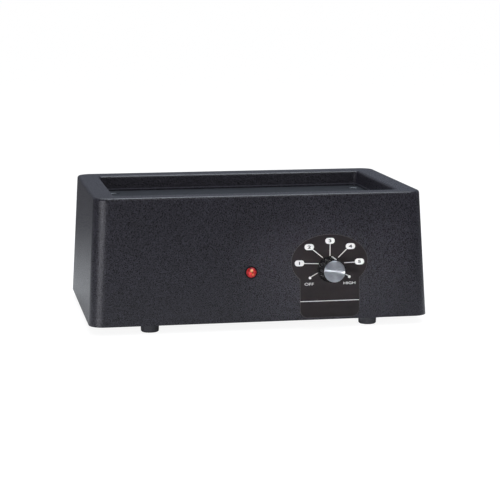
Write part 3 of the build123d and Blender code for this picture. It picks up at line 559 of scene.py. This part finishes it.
# ---------------------------------------------------------------- pilot lamp
# A neon lamp in a nylon body, clipped through the panel. Its jewel is moulded in clear
# red acrylic with flat facets; the orange and dark patches of light breaking inside it are painted
# light and shade in its colour.
nylon_black = moulded("nylon_moulded_black", "#0e0e10", "#18181a", 1.5, (0.14, 0.24), 0.5, 0.01)
dress(nylon_black, "lamp_body")
clip_steel = metal("spring_steel_blued", "#3a4048", "#59606a", 2.5, (0.25, 0.4), deep_mm=0.004)
dress(clip_steel, "lamp_clip")
dress(tinned, "lamp_tabs")
lens_low, lens_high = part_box("lamp_lens")
lens_mid = np.array((lens_low + lens_high) / 2) * 1000 - hub
lamp_x, lamp_s = lens_mid @ side, lens_mid @ rise
jewel_sides = 12
# rings of the cut: radius, height off the panel, and its turn in half facets
cuts = ((5.0, 1.0, 0), (5.0, 1.7, 0), (4.4, 2.9, 1), (3.2, 4.1, 0), (2.0, 4.6, 1), (0.0, 4.6, 1))


def jewel():
    """A cut gem: rings of points, each a regular polygon, every second one turned by
    half a facet, and joined by flat triangles; the first ring closes to its middle."""
    step = 2 * math.pi / jewel_sides
    rings = [(0.0, 1.0, 0)] + list(cuts)
    pts, faces = [], []
    for r, n, half in rings:
        a = np.arange(jewel_sides) * step + half * step / 2
        pts.append(on_panel(lamp_x + r * np.cos(a), lamp_s + r * np.sin(a), n))
    k = np.arange(jewel_sides)
    nxt = (k + 1) % jewel_sides
    for i in range(len(rings) - 1):
        lo, up = i * jewel_sides, (i + 1) * jewel_sides
        if rings[i + 1][2] < rings[i][2]:
            corners = ((lo + k, up + nxt, up + k), (lo + k, lo + nxt, up + nxt))
        else:
            corners = ((lo + k, lo + nxt, up + k), (lo + nxt, up + nxt, up + k))
        faces += [np.stack(three, 1) for three in corners]
    mesh = bpy.data.meshes.new("lamp_jewel")
    mesh.from_pydata(np.concatenate(pts).tolist(), [], np.concatenate(faces).tolist())
    heal(mesh)
    return placed("lamp_jewel", mesh)


acrylic, tree, shader, here = blank("acrylic_red_faceted_painted_glow", IOR=1.49, Roughness=0.1,
                                    Coat_Weight=0.15, Coat_Roughness=0.03)
# painted light and shade: red cells from dark to bright stand in for the light the facets break up,
# and two paler patches are a painted glow of the neon's two electrodes
painted_light_cell_mm = 2.0
painted_light_cells = node(tree, "TexVoronoi", {"Vector": here, "Scale": 1000 / painted_light_cell_mm})
pick = node(tree, "SeparateColor", {"Color": painted_light_cells.outputs["Color"]}).outputs[0]
colour = node(tree, "Mix", {0: pick, 6: linear("#6c060c"), 7: linear("#f23a3c")},
              data_type="RGBA").outputs[2]
painted_glow_high = 4.0                              # off the panel, just under the jewel's face
# each painted glow patch: its place on the lens and its radius, in mm, and its colour
for gx, gs, gr, code in ((-0.2, 2.0, 1.9, "#ffc983"), (0.9, -1.6, 1.6, "#f07c45")):
    painted_glow_spot = on_panel(lamp_x + gx, lamp_s + gs, painted_glow_high).tolist()
    off = node(tree, "VectorMath", {0: here, 1: painted_glow_spot}, operation="DISTANCE").outputs["Value"]
    painted_glow_share = node(tree, "MapRange", {"Value": off, "From Min": gr / 4000, "From Max": gr / 1000,
                                   "To Min": 1.0, "To Max": 0.0}).outputs[0]
    colour = node(tree, "Mix", {0: painted_glow_share, 6: colour, 7: linear(code)}, data_type="RGBA").outputs[2]
tree.links.new(colour, shader.inputs["Base Color"])
gem = jewel()
gem.data.materials.append(acrylic)
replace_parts(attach(gem, "case"), "lamp_lens")

# ---------------------------------------------------------------- mains inlet
# A flanged appliance inlet in the back wall, moulded in black nylon, with three
# nickel-plated blades in its socket and two countersunk screws with nuts behind.
inlet_nylon = moulded("nylon_moulded_black_sparked", "#1b1b1d", "#28282b", 1.2, (0.45, 0.6),
                      0.8, 0.03)
dress(inlet_nylon, "inlet_body")
dress(nickel, "inlet_pins")
dress(zinc_bright, "inlet_screws", "inlet_nuts")

# ---------------------------------------------------------------- terminals and earth
# A steatite block joins the lamp's leads to the mains under two screws. The earth lead
# ends under a nut on a brass stud in the base plate.
steatite = moulded("steatite_fired", "#d6d0c2", "#e6e1d5", 4.0, (0.3, 0.45), 0.8, 0.01)
dress(steatite, "terminal_block")
dress(zinc_bright, "terminal_screws", "terminal_nuts", "earth_nut")
dress(brass, "earth_stud")

# ---------------------------------------------------------------- leads
# Stranded copper in silicone or PVC sleeves: black for live and element, white for
# neutral, green for earth. The sleeves are soft, dull and faintly dusty.
lead_black = moulded("silicone_sleeve_black", "#19191a", "#272728", 4.0, (0.5, 0.68), 0.6, 0.01)
dress(lead_black, "lead_live", "lead_element", "lamp_lead_a", "lamp_lead_b")
lead_white = moulded("silicone_sleeve_white", "#d3d2ce", "#e4e3df", 4.0, (0.5, 0.68), 0.6, 0.01)
dress(lead_white, "lead_neutral")
lead_green = moulded("pvc_sleeve_green", "#1f6a35", "#2a8045", 4.0, (0.4, 0.55), 0.6, 0.01)
dress(lead_green, "lead_earth")

# ---------------------------------------------------------------- studio
# The heater stands on a pale sweep that burns out to white, under a broad soft box
# overhead, with a low soft box at the front left and a weaker one high in front.
base_z = cad_box[0][2]
far = 40.0
sweep = bpy.data.meshes.new("floor")
sweep.from_pydata([(-far, -far, base_z), (far, -far, base_z), (far, far, base_z),
                   (-far, far, base_z)], [], [(0, 1, 2, 3)])
floor = placed("floor", sweep)


def white_share(tree, rays):
    """How much of the white backdrop a ray sees: all of it from the lens and through
    glass, a small share of it as gloss, and none of it as soft light."""
    seen = node(tree, "Math", {0: rays.outputs["Is Camera Ray"],
                               1: rays.outputs["Is Transmission Ray"]}, operation="MAXIMUM")
    share = node(tree, "Math", {0: rays.outputs["Is Glossy Ray"], 1: 0.06, 2: seen.outputs[0]},
                 operation="MULTIPLY_ADD")
    return share.outputs[0]


# Matt paper, lit like any surface. The lens and glass see it nearly as white; gloss sees it
# with a painted shade that grows darker the further it lies from the heater.
paper = bpy.data.materials.new("paper_sweep_matt")
paper.use_nodes = True
tree = paper.node_tree
tree.nodes.clear()
rays = node(tree, "LightPath")
away = node(tree, "VectorMath", {0: node(tree, "TexCoord").outputs["Object"]}, operation="LENGTH")
painted_shade_falloff = node(tree, "MapRange", {"Value": away.outputs["Value"], "From Min": 0.1, "From Max": 0.68,
                               "To Min": 0.0, "To Max": 1.0})
painted_shade_for_gloss = node(tree, "Math", {0: painted_shade_falloff.outputs[0], 1: rays.outputs["Is Glossy Ray"]},
           operation="MULTIPLY")
# painted shade: the paper's colour for gloss goes from pale near the heater to dark grey away from
# it
paper_tone_painted_shade = node(tree, "Mix", {0: painted_shade_for_gloss.outputs[0], 6: linear("#e6e6e6"), 7: linear("#5a5a5e")},
            data_type="RGBA")
lit = node(tree, "BsdfDiffuse", {"Color": paper_tone_painted_shade.outputs[2]})
glow = node(tree, "Emission", {"Color": (1, 1, 1, 1), "Strength": 1.2})
both = node(tree, "MixShader", {0: 0.75, 1: lit.outputs[0], 2: glow.outputs[0]})
pick = node(tree, "MixShader", {0: white_share(tree, rays), 1: lit.outputs[0],
                                2: both.outputs[0]})
node(tree, "OutputMaterial", {"Surface": pick.outputs[0]})
sweep.materials.append(paper)

# The room: pale and even for soft light, and white behind the heater for the lens and for
# glass. Gloss mirrors it dimly: darkest in front, cool and paler at the back and right.
world = bpy.data.worlds.new("studio")
bpy.context.scene.world = world
world.use_nodes = True
tree = world.node_tree
tree.nodes.clear()
rays = node(tree, "LightPath")
way = node(tree, "SeparateXYZ", {0: node(tree, "TexCoord").outputs["Generated"]})
back = node(tree, "MapRange", {"Value": way.outputs["Y"], "From Min": -0.4, "From Max": 0.7},
            interpolation_type="SMOOTHSTEP")
across = node(tree, "MapRange", {"Value": way.outputs["X"], "From Min": 0.0, "From Max": 0.3,
                                 "To Min": 0.5, "To Max": 1.0})
paler = node(tree, "Math", {0: back.outputs[0], 1: across.outputs[0]}, operation="MULTIPLY")
room = node(tree, "Mix", {0: paler.outputs[0], 6: (0.045, 0.045, 0.055, 1),
                          7: (0.15, 0.172, 0.215, 1)}, data_type="RGBA")
soft = node(tree, "Mix", {0: rays.outputs["Is Glossy Ray"], 6: (0.5, 0.5, 0.51, 1),
                          7: room.outputs[2]}, data_type="RGBA")
level = node(tree, "Mix", {0: white_share(tree, rays), 6: soft.outputs[2], 7: (1, 1, 1, 1)},
             data_type="RGBA")
sky = node(tree, "Background", {"Color": level.outputs[2], "Strength": 1.0})
node(tree, "OutputWorld", {"Surface": sky.outputs[0]})


def soft_box(name, place, aim, wide, tall, watts, colour=(1, 1, 1), spread_deg=180.0):
    """A rectangular lamp at place, turned so that it faces aim. spread_deg is the angle to
    which a grid narrows its beam."""
    lamp = bpy.data.lights.new(name, "AREA")
    lamp.shape, lamp.size, lamp.size_y, lamp.energy = "RECTANGLE", wide, tall, watts
    lamp.color, lamp.spread = colour, math.radians(spread_deg)
    made = placed(name, lamp)
    face = (Vector(aim) - Vector(place)).to_track_quat("-Z", "Y").to_matrix().to_4x4()
    made.matrix_world = Matrix.Translation(place) @ face


middle = (0.0, 0.0, 0.07)
soft_box("lamp_overhead", (0.12, 0.15, 1.3), middle, 1.4, 0.6, 16, (0.86, 0.93, 1.0))
soft_box("lamp_front_left", (-1.03, -1.03, 0.16), (-0.1, -0.1, 0.07), 0.8, 0.2, 4.6,
         (0.93, 0.93, 1.0))
soft_box("lamp_front_fill", (0.42, -1.9, 1.7), middle, 0.7, 0.9, 4.5)
# a small low lamp, gridded so that it lights only the dial and draws a glint on the disc
soft_box("lamp_dial", (-0.27, -0.86, 0.083), (0.067, -0.12, 0.058), 0.12, 0.04, 0.017,
         spread_deg=9.0)

# The camera: a long lens from the front and a little left, just above the object.
eye = Vector((-0.3024, -1.65858, 0.3430))
yaw, pitch = -0.1839, -0.165
right = Vector((math.cos(yaw), math.sin(yaw), 0))
ahead = Vector((-math.sin(yaw) * math.cos(pitch), math.cos(yaw) * math.cos(pitch),
                math.sin(pitch)))
up = right.cross(ahead)
lens = bpy.data.cameras.new("camera")
lens.lens, lens.sensor_width = 120.3, 36.0
lens.clip_end = 200.0
camera = placed("camera", lens)
turned = Matrix((right, up, -ahead)).transposed().to_4x4()
camera.matrix_world = Matrix.Translation(eye) @ turned
bpy.context.scene.camera = camera
bpy.context.scene.view_settings.view_transform = "Standard"
